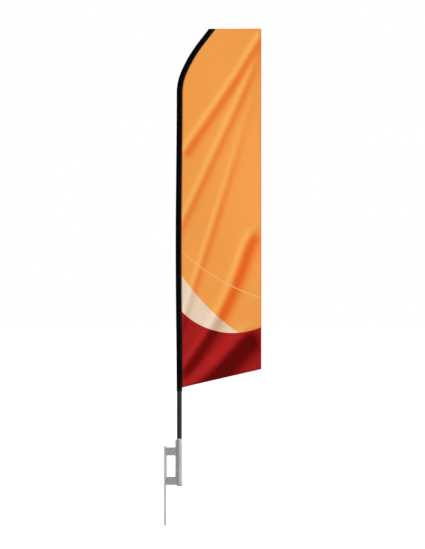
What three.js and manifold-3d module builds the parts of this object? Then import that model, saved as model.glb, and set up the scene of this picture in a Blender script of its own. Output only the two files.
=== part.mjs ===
// Feather flag on a sectional mast, standing in a push-in ground stake.
//
// Frame, in millimetres: the origin is on the mast's axis at the underside of the socket's end plug,
// which is ground level. +Z runs up the mast, the flag flies towards +X and its front faces -Y.
// Everything on the mast is modelled straight, about the Z axis, with z as the distance along the
// mast, and is then bent onto the mast's centreline: a butt that is straight, a slight bow, and a
// shoulder of two arcs that leans the tip over towards the flag.
import * as THREE from "three";
import { mergeVertices } from "three/addons/utils/BufferGeometryUtils.js";
import Module from "manifold-3d";

// ---- Driving dimensions ----------------------------------------------------------------------

const GAP = 0.3; // between pieces that touch, are pressed together or are welded
const RUNNING = 0.4; // radial play of the mast in its bushes

// Mast centreline
const BOW_START = 650; // height where the bow begins
const BOW_DEPTH = 8; // how far it bows away from the flag
const SHOULDER_DROP = 495; // from the flag's top to where the bow ends and the shoulder begins
const SHOULDER_RADII = [395, 1010];
const SHOULDER_ANGLES = [22.9, 14.9].map(THREE.MathUtils.degToRad);

// Mast sections, each with its lower end inside the one below
const MAST_RADIUS = 19; // of the lowest section
const MAST_WALL = 1.6;
const TUBES_BELOW_SHOULDER = 99; // from the top of the last tube to where the shoulder begins
const SPIGOT = 120; // how far a section goes into the one below
const COLLAR_HEIGHT = 14;
const ROD_RADIUS = 5;
const ROD_TIP_RADIUS = 3.5;
const ROD_IN_FERRULE = 55;
const FERRULE_HEAD = 30;
const FERRULE_FLOOR = 5;
const FERRULE_LIP = 3; // wall at its narrow top end
const CAP_LENGTH = 24;
const CAP_WALL = 3;
const CAP_NOSE = 6;
const FOOT_HEAD = 6;
const FOOT_INSERT = 20;
const SOFT_EDGE = 2; // chamfers on moulded pieces

// Ground stake: a tube that holds the mast, and two steps that join it to a spike
const TUBE_WALL = 2;
const TUBE_BOTTOM = 8.6;
const TUBE_TOP = 354;
const BUSH_WALL = 1.3;
const BUSH_DEPTH = 30;
const BUSH_HEAD = 12; // above the tube
const PLUG_LIP = 1; // the plug's head is this much smaller than the tube
const PLUG_CHAMFER = 6;
const PLUG_DEPTH = 22;
const WASHER_THICKNESS = 3;
const WASHER_BORE = 6;
const CUP_FLOOR = 5;
const CUP_DEPTH = 60;
const STEP_REACH = 80; // from the spike's side to the tube's
const STEP_HEIGHT = 62;
const STEP_DEPTH = 26; // front to back
const STEP_SHEET = 3;
const STEP_BEND = 4; // outside radius of the folded edges
const LOWER_STEP_RISE = 1.4; // from the tube's lower end to the lower step
const UPPER_STEP_DROP = 56; // from the tube's upper end to the upper step
const SPINE_WIDTH = 9.3; // bar along the tube, left to right
const SPINE_DEPTH = 16;
const SPINE_INSET = 2.2; // from the tube's ends
const BACKING_WIDTH = 6.5; // strip along the spike, between the steps
const BACKING_DEPTH = 12;
const SPIKE_SIDE = 16; // square bar
const SPIKE_IN_GROUND = 307;
const SPIKE_ABOVE_STEP = 10;
const SPIKE_TOP_SLANT = 2; // how much lower one side of the sheared end is
const SPIKE_TIP_SLANT = 8;

// Flag
const FLAG_TOP = 3520;
const FLAG_FLY_X = 630; // free edge
const FLY_BOTTOM = 900;
const LUFF_BOTTOM = 758; // corner at the sleeve
const CLOTH = 0.8;
const SLEEVE_EASE = 1.3; // room around the lowest mast section
const SLEEVE_WALL = 1.2;
const SLEEVE_TIP_FLATNESS = 0.42; // depth over width around the rod
const SLEEVE_MARGIN = 10; // from a collar to where the sleeve starts to close in
const SLEEVE_TAPER = 160; // length over which it closes in
const TIP_CLEARANCE = 14; // from the tip cap to the closed end of the sleeve
const STRAP_EASE = 1;
const STRAP_WALL = 1.4;
const STRAP_HEIGHT = 26;
const SEAM_FADE = 28; // folds die out over this distance from the sleeve

// Furrows in the cloth: the four control points [x, z] of a curve along the furrow, its depth, its
// widths on the upper left and on the lower right, and the share of the curve over which it fades
// in. Three run from the top corner to the sleeve, one from the free edge, and one opens out from
// the lower corner.
const FOLDS = [
  { curve: [[650, 3510], [435, 3143], [216, 2847], [42, 2586]], depth: 9, widths: [33, 41], fade: 0.05 },
  { curve: [[660, 3438], [469, 2986], [251, 2526], [2, 1996]], depth: 8, widths: [32, 33], fade: 0.27 },
  { curve: [[649, 3324], [441, 2541], [195, 1821], [11, 1244]], depth: 6, widths: [27, 31], fade: 0.6 },
  { curve: [[641, 1983], [430, 1918], [564, 1639], [45, 916]], depth: 15, widths: [45, 49], fade: 0.22 },
  { curve: [[623, 1248], [412, 1149], [409, 1009], [47, 734]], depth: 20, widths: [50, 110], fade: 0.25 },
];
const FOLD_TURNS = 32; // straight pieces that stand for a furrow's curve
const BILLOW = 16; // slow wave of the whole cloth

// Facets
const SIDES = 24;
const BOW_STEP = 160;
const SHOULDER_STEP = 30;
const PANEL_COLUMNS = 18;
const PANEL_ROWS = 44;

// ---- Sizes that follow -----------------------------------------------------------------------

// Radii, from the mast outwards and inwards
const bushBore = MAST_RADIUS + RUNNING;
const socketInner = bushBore + BUSH_WALL + GAP;
const tubeRadius = socketInner + TUBE_WALL;
const sleeveInner = MAST_RADIUS + SLEEVE_EASE;
const sleeveOuter = sleeveInner + SLEEVE_WALL;
const lowerInner = MAST_RADIUS - MAST_WALL;
const middleRadius = lowerInner - GAP;
const middleInner = middleRadius - MAST_WALL;
const upperRadius = middleInner - GAP;
const upperInner = upperRadius - MAST_WALL;

// Heights in the socket, from the ground up
const plugRim = TUBE_BOTTOM - GAP;
const plugTop = TUBE_BOTTOM + PLUG_DEPTH;
const washerBottom = plugTop + GAP;
const washerTop = washerBottom + WASHER_THICKNESS;
const cupBottom = washerTop + GAP;
const cupFloor = cupBottom + CUP_FLOOR;
const footBottom = cupFloor + GAP;
const footHead = footBottom + FOOT_HEAD;

// Distances along the mast, whose three tubes are of one length
const shoulderStart = FLAG_TOP - SHOULDER_DROP;
const lowerBottom = footHead + GAP;
const upperTop = shoulderStart - TUBES_BELOW_SHOULDER;
const sectionLength = (upperTop - lowerBottom + 2 * SPIGOT) / 3;
const lowerTop = lowerBottom + sectionLength;
const middleBottom = lowerTop - SPIGOT;
const middleTop = middleBottom + sectionLength;
const upperBottom = middleTop - SPIGOT;
const ferruleSeat = upperTop + GAP;
const ferruleTop = ferruleSeat + FERRULE_HEAD;
const sleeveSteps = [
  lowerTop + COLLAR_HEIGHT + SLEEVE_MARGIN,
  middleTop + COLLAR_HEIGHT + SLEEVE_MARGIN,
  ferruleTop,
];

// ---- Mast centreline -------------------------------------------------------------------------

// A point of the centreline and its slope from the vertical, at a distance s along the mast.
// The bow is so slight that its height stands for its length.
function centreline(s) {
  if (s <= shoulderStart) {
    if (s <= BOW_START) return { x: 0, z: s, lean: 0 };
    const turn = (2 * Math.PI) / (shoulderStart - BOW_START);
    const phase = turn * (s - BOW_START);
    const lean = Math.atan((-BOW_DEPTH / 2) * turn * Math.sin(phase));
    return { x: (-BOW_DEPTH / 2) * (1 - Math.cos(phase)), z: s, lean };
  }
  let [x, z, lean, left] = [0, shoulderStart, 0, s - shoulderStart];
  for (let i = 0; i < SHOULDER_RADII.length && left > 0; i++) {
    const radius = SHOULDER_RADII[i];
    const turned = Math.min(left / radius, SHOULDER_ANGLES[i]);
    x += radius * (Math.cos(lean) - Math.cos(lean + turned));
    z += radius * (Math.sin(lean + turned) - Math.sin(lean));
    lean += turned;
    left -= radius * turned;
  }
  if (left > 1e-9) {
    x += left * Math.sin(lean);
    z += left * Math.cos(lean);
  }
  return { x, z, lean };
}

// A point beside the mast: out is measured square to it, towards the flag.
function besideMast(s, out) {
  const { x, z, lean } = centreline(s);
  return { x: x + out * Math.cos(lean), z: z - out * Math.sin(lean) };
}

// The distance along the mast at which a point beside it reaches a height.
function alongAtHeight(height, out) {
  let [low, high] = [0, 2 * FLAG_TOP];
  for (let i = 0; i < 50; i++) {
    const middle = (low + high) / 2;
    if (besideMast(middle, out).z < height) low = middle;
    else high = middle;
  }
  return (low + high) / 2;
}

const mastEnd = alongAtHeight(FLAG_TOP, 0);

function bendOntoMast(geometry) {
  const points = geometry.attributes.position;
  for (let i = 0; i < points.count; i++) {
    const place = besideMast(points.getZ(i), points.getX(i));
    points.setXYZ(i, place.x, points.getY(i), place.z);
  }
  return geometry;
}

// Distances between two ends, close together where the mast curves. There is one wherever the curve
// changes and wherever the sleeve starts to close in.
function stations(from, to) {
  const marks = [BOW_START, ...sleeveSteps, shoulderStart];
  const found = [from];
  while (to - found.at(-1) > 1e-6) {
    const at = found.at(-1);
    const step = at >= shoulderStart - 1e-6 ? SHOULDER_STEP : BOW_STEP;
    const next = marks.filter((mark) => mark > at + 1e-6);
    found.push(Math.min(at + step, to, ...next));
  }
  return found;
}

// ---- Shapes ----------------------------------------------------------------------------------

// Turns a profile of [radius, z] about the Z axis. The profile runs anticlockwise, seen with the
// radius to the right and z up, and starts and ends on the axis or closes on itself.
function turned(profile) {
  const points = profile.map(([r, z]) => new THREE.Vector2(r, z));
  return new THREE.LatheGeometry(points, SIDES).rotateX(Math.PI / 2);
}

// A tube about the Z axis, with a ring of vertices at each station.
function tube(inner, outer, from, to) {
  const heights = stations(from, to);
  const up = heights.map((z) => [outer, z]);
  const down = heights.map((z) => [inner, z]).reverse();
  return turned([...up, ...down, up[0]]);
}

// A closed sheet of even thickness from front to back. place(across, up) gives its middle, with
// both from 0 to 1. Its two sides are divided into the same triangles, so they never meet.
function sheet(columns, rows, thickness, place) {
  const vertices = [];
  for (const side of [-0.5, 0.5])
    for (let row = 0; row <= rows; row++)
      for (let column = 0; column <= columns; column++) {
        const { x, y, z } = place(column / columns, row / rows);
        vertices.push(x, y + side * thickness, z);
      }
  const at = (column, row) => row * (columns + 1) + column;
  const back = at(columns, rows) + 1;
  const faces = [];
  for (let row = 0; row < rows; row++)
    for (let column = 0; column < columns; column++) {
      const [a, b] = [at(column, row), at(column + 1, row)];
      const [c, d] = [at(column + 1, row + 1), at(column, row + 1)];
      faces.push(a, b, c, a, c, d);
      faces.push(back + a, back + c, back + b, back + a, back + d, back + c);
    }
  const rim = (p, q) => faces.push(q, p, back + p, q, back + p, back + q);
  for (let column = 0; column < columns; column++) {
    rim(at(column, 0), at(column + 1, 0));
    rim(at(column + 1, rows), at(column, rows));
  }
  for (let row = 0; row < rows; row++) {
    rim(at(columns, row), at(columns, row + 1));
    rim(at(0, row + 1), at(0, row));
  }
  const geometry = new THREE.BufferGeometry();
  geometry.setAttribute("position", new THREE.Float32BufferAttribute(vertices, 3));
  geometry.setIndex(faces);
  geometry.computeVertexNormals();
  return geometry;
}

function block(x, y, z) {
  const box = new THREE.BoxGeometry(x[1] - x[0], y[1] - y[0], z[1] - z[0]);
  return box.translate((x[0] + x[1]) / 2, (y[0] + y[1]) / 2, (z[0] + z[1]) / 2);
}

// ---- Booleans --------------------------------------------------------------------------------

const wasm = await Module();
wasm.setup();

function solidOf(geometry) {
  const bare = geometry.clone();
  bare.deleteAttribute("normal");
  bare.deleteAttribute("uv");
  const merged = mergeVertices(bare, 1e-3);
  const vertProperties = new Float32Array(merged.attributes.position.array);
  const triVerts = new Uint32Array(merged.index.array);
  return new wasm.Manifold(new wasm.Mesh({ numProp: 3, vertProperties, triVerts }));
}

function geometryOf(solid) {
  const mesh = solid.getMesh();
  const geometry = new THREE.BufferGeometry();
  geometry.setAttribute("position", new THREE.BufferAttribute(mesh.vertProperties, 3));
  geometry.setIndex(new THREE.BufferAttribute(mesh.triVerts, 1));
  geometry.computeVertexNormals();
  return geometry;
}

function cut(geometry, ...tools) {
  let solid = solidOf(geometry);
  for (const tool of tools) solid = solid.subtract(solidOf(tool));
  return geometryOf(solid);
}

// ---- Materials -------------------------------------------------------------------------------

const finish = (color, roughness, metalness) =>
  new THREE.MeshStandardMaterial({ color, roughness, metalness });
const zincSteel = finish(0xadafb1, 0.45, 0.85);
const foldedSteel = finish(0x8e9295, 0.5, 0.85);
const spineSteel = finish(0xb9b5af, 0.5, 0.8);
const tubeSteel = finish(0xa9aeb0, 0.35, 0.85);
const greyNylon = finish(0xc2c7c9, 0.5, 0);
const darkNylon = finish(0x2a2b2c, 0.55, 0);
const blackAlloy = finish(0x161617, 0.35, 0.6);
const fibreglass = finish(0x1d1d1b, 0.45, 0);
const blackCloth = finish(0x0a0a0a, 0.9, 0);
const webbing = finish(0x111111, 0.85, 0);
const flagCloth = finish(0xf1a04c, 0.85, 0);

const flag = new THREE.Group();

function add(name, geometry, material) {
  const mesh = new THREE.Mesh(geometry, material);
  mesh.name = name;
  flag.add(mesh);
}

// ---- Ground stake ----------------------------------------------------------------------------

const lowerStepBottom = TUBE_BOTTOM + LOWER_STEP_RISE;
const upperStepTop = TUBE_TOP - UPPER_STEP_DROP;
const spikeRight = -tubeRadius - STEP_REACH;
const spikeLeft = spikeRight - SPIKE_SIDE;
const backingLeft = spikeRight + GAP;
const spineLeft = -tubeRadius - GAP - SPINE_WIDTH;
const stepFront = -STEP_DEPTH / 2;

// What is welded to the tube is coped with this, so that it fits around the tube.
function aroundTube() {
  const radius = tubeRadius + GAP;
  return new THREE.CylinderGeometry(radius, radius, 3 * TUBE_TOP, 2 * SIDES).rotateX(Math.PI / 2);
}

// Square bar, sheared across at a slight slant at both ends.
function spikeBar() {
  const side = new THREE.Shape();
  side.moveTo(spikeLeft, SPIKE_TIP_SLANT - SPIKE_IN_GROUND);
  side.lineTo(spikeRight, -SPIKE_IN_GROUND);
  side.lineTo(spikeRight, upperStepTop + SPIKE_ABOVE_STEP);
  side.lineTo(spikeLeft, upperStepTop + SPIKE_ABOVE_STEP + SPIKE_TOP_SLANT);
  side.closePath();
  const bar = new THREE.ExtrudeGeometry(side, { depth: SPIKE_SIDE, bevelEnabled: false });
  return bar.rotateX(Math.PI / 2).translate(0, SPIKE_SIDE / 2, 0);
}

// Strip that stiffens the spike between the two steps.
function spikeBacking() {
  return block(
    [backingLeft, backingLeft + BACKING_WIDTH],
    [-BACKING_DEPTH / 2, BACKING_DEPTH / 2],
    [lowerStepBottom + STEP_HEIGHT + GAP, upperStepTop - STEP_HEIGHT - GAP]);
}

// Bar along the tube's side, to which the steps are welded.
function tubeSpine() {
  const bar = block(
    [spineLeft, spineLeft + SPINE_WIDTH + TUBE_WALL],
    [-SPINE_DEPTH / 2, SPINE_DEPTH / 2],
    [TUBE_BOTTOM + SPINE_INSET, TUBE_TOP - SPINE_INSET]);
  return cut(bar, aroundTube());
}

// The outline of a folded channel, open at the back, with y across and z up.
function channelSection(bottom, top) {
  const [front, back] = [stepFront, stepFront + STEP_DEPTH];
  const centre = front + STEP_BEND;
  const inner = STEP_BEND - STEP_SHEET;
  const [down, left, up] = [-Math.PI / 2, Math.PI, Math.PI / 2];
  const section = new THREE.Shape();
  section.moveTo(back, bottom);
  section.lineTo(back, bottom + STEP_SHEET);
  section.absarc(centre, bottom + STEP_BEND, inner, down, left, true);
  section.absarc(centre, top - STEP_BEND, inner, left, up, true);
  section.lineTo(back, top - STEP_SHEET);
  section.lineTo(back, top);
  section.absarc(centre, top - STEP_BEND, STEP_BEND, up, left, false);
  section.absarc(centre, bottom + STEP_BEND, STEP_BEND, left, left - down, false);
  section.closePath();
  return section;
}

// Folded step between the spike and the tube. Its web laps over the spine's front as far as the
// tube, and its flanges are notched to stop at the spine.
function step(bottom) {
  const top = bottom + STEP_HEIGHT;
  const depth = -tubeRadius + STEP_SHEET - backingLeft;
  const channel = new THREE.ExtrudeGeometry(
    channelSection(bottom, top), { depth, bevelEnabled: false, curveSegments: 4 });
  // Turns the section's x into y and its y into z, and the extrusion's z into x.
  channel.rotateX(Math.PI / 2).rotateZ(Math.PI / 2).translate(backingLeft, 0, 0);
  const notch = block(
    [spineLeft - GAP, 0],
    [stepFront + STEP_SHEET, stepFront + STEP_DEPTH + 1],
    [bottom - 1, top + 1]);
  return cut(channel, notch, aroundTube());
}

add("spike_bar", spikeBar(), zincSteel);
add("spike_backing_strip", spikeBacking(), zincSteel);
add("tube_spine_bar", tubeSpine(), spineSteel);
add("lower_step", step(lowerStepBottom), foldedSteel);
add("upper_step", step(upperStepTop - STEP_HEIGHT), foldedSteel);
add("socket_tube", tube(socketInner, tubeRadius, TUBE_BOTTOM, TUBE_TOP), tubeSteel);

// Plug in the tube's lower end. Its chamfered head stands on the ground.
add("socket_end_plug", turned([
  [0, 0],
  [tubeRadius - PLUG_LIP - PLUG_CHAMFER, 0],
  [tubeRadius - PLUG_LIP, plugRim - SOFT_EDGE],
  [tubeRadius - PLUG_LIP, plugRim],
  [socketInner - GAP, plugRim],
  [socketInner - GAP, plugTop],
  [0, plugTop],
]), darkNylon);

add("thrust_washer", tube(WASHER_BORE, socketInner - GAP, washerBottom, washerTop), zincSteel);

// Bush in the tube's mouth, in which the mast turns.
add("mouth_bush", turned([
  [bushBore, TUBE_TOP - BUSH_DEPTH],
  [socketInner - GAP, TUBE_TOP - BUSH_DEPTH],
  [socketInner - GAP, TUBE_TOP + GAP],
  [tubeRadius, TUBE_TOP + GAP],
  [tubeRadius, TUBE_TOP + GAP + BUSH_HEAD - SOFT_EDGE],
  [tubeRadius - SOFT_EDGE, TUBE_TOP + GAP + BUSH_HEAD],
  [bushBore, TUBE_TOP + GAP + BUSH_HEAD],
  [bushBore, TUBE_TOP - BUSH_DEPTH],
]), greyNylon);

// Cup that turns on the washer and holds the mast's foot.
add("swivel_cup", turned([
  [0, cupBottom],
  [socketInner - GAP, cupBottom],
  [socketInner - GAP, cupBottom + CUP_DEPTH],
  [bushBore, cupBottom + CUP_DEPTH],
  [bushBore, cupFloor],
  [0, cupFloor],
]), greyNylon);

// ---- Mast ------------------------------------------------------------------------------------

function addOnMast(name, geometry, material) {
  add(name, bendOntoMast(geometry), material);
}

add("mast_foot_plug", turned([
  [0, footBottom],
  [MAST_RADIUS - SOFT_EDGE, footBottom],
  [MAST_RADIUS, footBottom + SOFT_EDGE],
  [MAST_RADIUS, footHead],
  [lowerInner - GAP, footHead],
  [lowerInner - GAP, lowerBottom + FOOT_INSERT],
  [0, lowerBottom + FOOT_INSERT],
]), darkNylon);

addOnMast("lower_mast_tube", tube(lowerInner, MAST_RADIUS, lowerBottom, lowerTop), blackAlloy);
addOnMast("middle_mast_tube", tube(middleInner, middleRadius, middleBottom, middleTop), blackAlloy);
addOnMast("upper_mast_tube", tube(upperInner, upperRadius, upperBottom, upperTop), blackAlloy);

// A ring fixed on a section, which stops it on the top of the section below.
const stopCollar = (inner, outer, below) =>
  tube(inner + GAP, outer, below + GAP, below + COLLAR_HEIGHT);
addOnMast("lower_stop_collar", stopCollar(middleRadius, MAST_RADIUS, lowerTop), darkNylon);
addOnMast("upper_stop_collar", stopCollar(upperRadius, middleRadius, middleTop), darkNylon);

// Ferrule that steps the upper tube down to the rod, which stands in its blind bore.
const ferruleBore = ROD_RADIUS + GAP;
const ferruleFloor = upperTop - ROD_IN_FERRULE;
addOnMast("tip_ferrule", turned([
  [0, ferruleFloor - FERRULE_FLOOR],
  [upperInner - GAP, ferruleFloor - FERRULE_FLOOR],
  [upperInner - GAP, ferruleSeat],
  [upperRadius, ferruleSeat],
  [ferruleBore + FERRULE_LIP, ferruleTop],
  [ferruleBore, ferruleTop],
  [ferruleBore, ferruleFloor],
  [0, ferruleFloor],
]), darkNylon);

// Tapered rod, which bends over with the shoulder.
const capTop = mastEnd - sleeveOuter - TIP_CLEARANCE;
const capBottom = capTop - CAP_LENGTH;
const rodBottom = ferruleFloor + GAP;
const rodTop = capTop - CAP_NOSE - GAP;
const rodRadiusAt = (s) =>
  THREE.MathUtils.mapLinear(s, rodBottom, rodTop, ROD_RADIUS, ROD_TIP_RADIUS);
addOnMast("flex_tip_rod", turned([
  [0, rodBottom],
  ...stations(rodBottom, rodTop).map((s) => [rodRadiusAt(s), s]),
  [0, rodTop],
]), fibreglass);

const capBore = rodRadiusAt(capBottom) + GAP;
const capRadius = capBore + CAP_WALL;
addOnMast("tip_cap", turned([
  [0, rodTop + GAP],
  [capBore, rodTop + GAP],
  [capBore, capBottom],
  [capRadius, capBottom],
  [capRadius, capTop - SOFT_EDGE],
  [capRadius - SOFT_EDGE, capTop],
  [0, capTop],
]), darkNylon);

// ---- Flag ------------------------------------------------------------------------------------

// How far the sleeve is flattened, from round over the tubes to flat over the rod.
function sleeveFlatness(s) {
  const around = (radius) => (radius + 2 * GAP + SLEEVE_WALL) / sleeveOuter;
  const levels = [1, around(middleRadius), around(upperRadius), SLEEVE_TIP_FLATNESS];
  return sleeveSteps.reduce((flatness, start, i) => {
    const closed = THREE.MathUtils.smoothstep(s, start, start + SLEEVE_TAPER);
    return flatness + (levels[i + 1] - levels[i]) * closed;
  }, levels[0]);
}

// Cloth tube around the mast, open at the bottom and closed at the flag's top edge, where it is
// cut off level.
function poleSleeve() {
  const past = mastEnd + sleeveOuter;
  const closed = mastEnd - sleeveOuter;
  const outside = stations(LUFF_BOTTOM, past).map((s) => [sleeveOuter, s]);
  const inside = stations(LUFF_BOTTOM, closed).map((s) => [sleeveInner, s]).reverse();
  const sleeve = turned([[0, closed], ...inside, ...outside, [0, past]]);
  const points = sleeve.attributes.position;
  for (let i = 0; i < points.count; i++)
    points.setY(i, points.getY(i) * sleeveFlatness(points.getZ(i)));
  const above = block(
    [-FLAG_FLY_X, FLAG_FLY_X], [-2 * sleeveOuter, 2 * sleeveOuter], [FLAG_TOP, 2 * FLAG_TOP]);
  return cut(bendOntoMast(sleeve), above);
}

// A furrow's curve as a line of points.
function foldLine({ curve }) {
  const control = curve.map(([x, z]) => new THREE.Vector2(x, z));
  return new THREE.CubicBezierCurve(...control).getPoints(FOLD_TURNS);
}

// How deep one furrow is at a point of the cloth. It rises to both sides of its line and past its
// ends.
function foldDepth({ line, depth, widths, fade }, x, z) {
  let nearest = { distance: Infinity };
  for (let i = 0; i < FOLD_TURNS; i++) {
    const [dx, dz] = [line[i + 1].x - line[i].x, line[i + 1].y - line[i].y];
    const [px, pz] = [x - line[i].x, z - line[i].y];
    const t = THREE.MathUtils.clamp((px * dx + pz * dz) / (dx * dx + dz * dz), 0, 1);
    const distance = Math.hypot(px - t * dx, pz - t * dz);
    const width = widths[px * dz < pz * dx ? 1 : 0];
    if (distance < nearest.distance) nearest = { distance, width, share: (i + t) / FOLD_TURNS };
  }
  const shown = THREE.MathUtils.smoothstep(nearest.share, 0, fade);
  return depth * shown * Math.exp(-((nearest.distance / nearest.width) ** 2));
}

const foldsDrawn = FOLDS.map((fold) => ({ ...fold, line: foldLine(fold) }));

// How far the cloth stands back at a point, across being its share of the width.
function clothDepth(x, z, across) {
  const folds = foldsDrawn.reduce((sum, fold) => sum + foldDepth(fold, x, z), 0);
  const share = (z - LUFF_BOTTOM) / (FLAG_TOP - LUFF_BOTTOM);
  const wave = BILLOW * across * Math.sin(2 * Math.PI * (share * 1.3 + across * 0.35));
  const fromSleeve = across * (FLAG_FLY_X - sleeveOuter);
  return (folds + wave) * THREE.MathUtils.smoothstep(fromSleeve, 0, SEAM_FADE);
}

// The printed cloth: one sheet between the sleeve and the free edge. The gap along the sleeve
// leaves room for the sleeve's facets.
function flagPanel() {
  const luff = sleeveOuter + 2 * GAP;
  const bottom = alongAtHeight(LUFF_BOTTOM, luff);
  const top = alongAtHeight(FLAG_TOP, luff);
  return sheet(PANEL_COLUMNS, PANEL_ROWS, CLOTH, (across, up) => {
    const left = besideMast(THREE.MathUtils.lerp(bottom, top, up), luff);
    const right = THREE.MathUtils.lerp(FLY_BOTTOM, FLAG_TOP, up);
    const x = THREE.MathUtils.lerp(left.x, FLAG_FLY_X, across);
    const z = THREE.MathUtils.lerp(left.z, right, across);
    return { x, y: clothDepth(x, z, across), z };
  });
}

// Hook-and-loop strap around the mast, just below the sleeve. Its ends overlap behind the mast.
function cinchStrap() {
  const inner = MAST_RADIUS + STRAP_EASE;
  const outer = inner + STRAP_WALL;
  const top = LUFF_BOTTOM - GAP;
  const bottom = top - STRAP_HEIGHT;
  const front = block([-2 * outer, 2 * outer], [-2 * outer, outer / 3], [bottom - 1, top + 1]);
  const overlap = cut(tube(outer - STRAP_WALL / 2, outer + STRAP_WALL, bottom, top), front);
  return geometryOf(solidOf(tube(inner, outer, bottom, top)).add(solidOf(overlap)));
}

add("pole_sleeve", poleSleeve(), blackCloth);
add("flag_panel", flagPanel(), flagCloth);
addOnMast("cinch_strap", cinchStrap(), webbing);

export default flag;
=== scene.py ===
"""Feather flag on a mast in a ground stake: its looks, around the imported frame.

Sizes are in metres unless a comment says otherwise.
"""
import math

import bpy
import numpy as np
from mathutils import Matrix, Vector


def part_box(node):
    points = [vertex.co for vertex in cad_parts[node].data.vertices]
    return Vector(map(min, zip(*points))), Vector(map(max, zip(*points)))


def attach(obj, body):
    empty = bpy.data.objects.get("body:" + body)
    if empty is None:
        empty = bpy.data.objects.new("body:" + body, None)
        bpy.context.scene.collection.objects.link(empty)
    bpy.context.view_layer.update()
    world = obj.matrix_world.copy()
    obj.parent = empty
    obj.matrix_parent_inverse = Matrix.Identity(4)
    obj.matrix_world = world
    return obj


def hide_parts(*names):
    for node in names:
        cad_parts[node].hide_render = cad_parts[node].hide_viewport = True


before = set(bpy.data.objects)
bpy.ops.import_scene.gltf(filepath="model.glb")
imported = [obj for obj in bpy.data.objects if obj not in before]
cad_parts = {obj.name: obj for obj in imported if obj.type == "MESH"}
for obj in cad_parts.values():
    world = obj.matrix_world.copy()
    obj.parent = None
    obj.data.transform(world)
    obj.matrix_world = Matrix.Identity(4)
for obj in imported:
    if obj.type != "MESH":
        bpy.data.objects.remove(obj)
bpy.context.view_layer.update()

# ---- Sizes that the pieces share, from the frame ---------------------------------------------

STAKE, SWIVEL, LOWER, UPPER = "ground_stake", "swivel", "lower_mast", "upper_mast"


def span(node):
    """The lowest and highest z of a CAD node."""
    low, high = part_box(node)
    return low[2], high[2]


FLAG_TOP = span("flag_panel")[1]
FLY_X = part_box("flag_panel")[1][0]  # the flag's free edge
FLY_BOTTOM = 0.9  # and its lower corner
LUFF_BOTTOM = span("pole_sleeve")[0]  # the lower corner at the mast
MAST_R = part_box("mast_foot_plug")[1][0]
MAST_WALL = 0.0016
TUBE_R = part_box("socket_tube")[1][0]
TUBE_WALL = 0.002
GAP = 0.0003  # between pieces that touch
RUNNING_GAP = 0.0004  # between the mast and what it turns in
FLOOR_Z = span("spike_bar")[0]

# The mast's centreline, as in the CAD: straight, then a slight bow, then a shoulder of two arcs
BOW_START = 0.65
BOW_DEPTH = 0.008
SHOULDER_START = FLAG_TOP - 0.495
SHOULDER_RADII = (0.395, 1.01)
SHOULDER_ANGLES = (math.radians(22.9), math.radians(14.9))

SLEEVE_R = MAST_R + 0.0025  # outside
SLEEVE_WALL = 0.0012
LUFF_OFFSET = SLEEVE_R - 0.0035  # the cloth's edge is sewn in between the sleeve's walls
CLOTH = 0.0005
FLAG_WIDTH = FLY_X - SLEEVE_R
FLAG_HEIGHT = FLAG_TOP - LUFF_BOTTOM


def centreline(s):
    """x, z and lean from the vertical at distances s along the mast."""
    s = np.asarray(s, float)
    turn = 2 * math.pi / (SHOULDER_START - BOW_START)
    phase = turn * np.clip(s - BOW_START, 0, SHOULDER_START - BOW_START)
    x = -BOW_DEPTH / 2 * (1 - np.cos(phase))
    lean = np.arctan(-BOW_DEPTH / 2 * turn * np.sin(phase))
    z = np.minimum(s, SHOULDER_START)
    left = np.maximum(s - SHOULDER_START, 0)
    lean = np.where(left > 0, 0.0, lean)
    for radius, angle in zip(SHOULDER_RADII, SHOULDER_ANGLES):
        turned = np.minimum(left / radius, angle)
        x = x + radius * (np.cos(lean) - np.cos(lean + turned)) * (left > 0)
        z = z + radius * (np.sin(lean + turned) - np.sin(lean)) * (left > 0)
        lean = lean + turned
        left = np.maximum(left - radius * turned, 0)
    return x + left * np.sin(lean), z + left * np.cos(lean), lean


def beside_mast(s, out):
    """x and z of the points that lie out to the flag's side of the mast."""
    x, z, lean = centreline(s)
    return x + out * np.cos(lean), z - out * np.sin(lean)


def along_at_height(height, out):
    """The distance along the mast at which a point beside it reaches a height."""
    low, high = np.zeros_like(out, float), np.full_like(out, 2 * FLAG_TOP, float)
    for _ in range(40):
        middle = (low + high) / 2
        below = beside_mast(middle, out)[1] < height
        low, high = np.where(below, middle, low), np.where(below, high, middle)
    return low


# ---- Cloth: where it lies and how it is shaded -----------------------------------------------

# Furrows, in millimetres: a curve's four control points, the depth, the widths on its upper left and
# lower right, and the share of the curve over which it fades in. light and dark place a painted
# highlight on the furrow's upper left and painted shade on its lower right: how far out, how wide and
# how strongly.
FOLDS = [
    dict(curve=[(650, 3510), (435, 3143), (216, 2847), (42, 2586)], depth=9, widths=(33, 41), fade=0.05,
         light=(24, 21, 1.0), dark=(30, 38, 0.9)),
    dict(curve=[(660, 3438), (469, 2986), (251, 2526), (2, 1996)], depth=8, widths=(32, 33), fade=0.27,
         light=(22, 22, 0.9), dark=(22, 35, 0.65)),
    dict(curve=[(649, 3324), (441, 2541), (195, 1821), (11, 1244)], depth=6, widths=(27, 31), fade=0.6,
         light=(19, 19, 0.75), dark=(22, 31, 0.6)),
    dict(curve=[(641, 1983), (430, 1918), (564, 1639), (45, 916)], depth=15, widths=(45, 49), fade=0.22,
         light=(32, 24, 1.0), dark=(35, 55, 1.3)),
    dict(curve=[(623, 1248), (412, 1149), (409, 1009), (47, 734)], depth=20, widths=(50, 110), fade=0.25,
         light=(35, 45, 1.1), dark=(79, 93, 1.9)),
]
FOLD_TURNS = 32  # straight pieces that stand for a furrow's curve
END_FADE = 0.045  # share of the curve over which a furrow dies away past its end
SEAM_FADE = 0.028  # from the sleeve to where the furrows have their whole depth
SHADE = 0.0078  # how far the sleeve's shade reaches over the cloth
BILLOW = 0.016  # depth of the slow wave at the free edge
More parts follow.
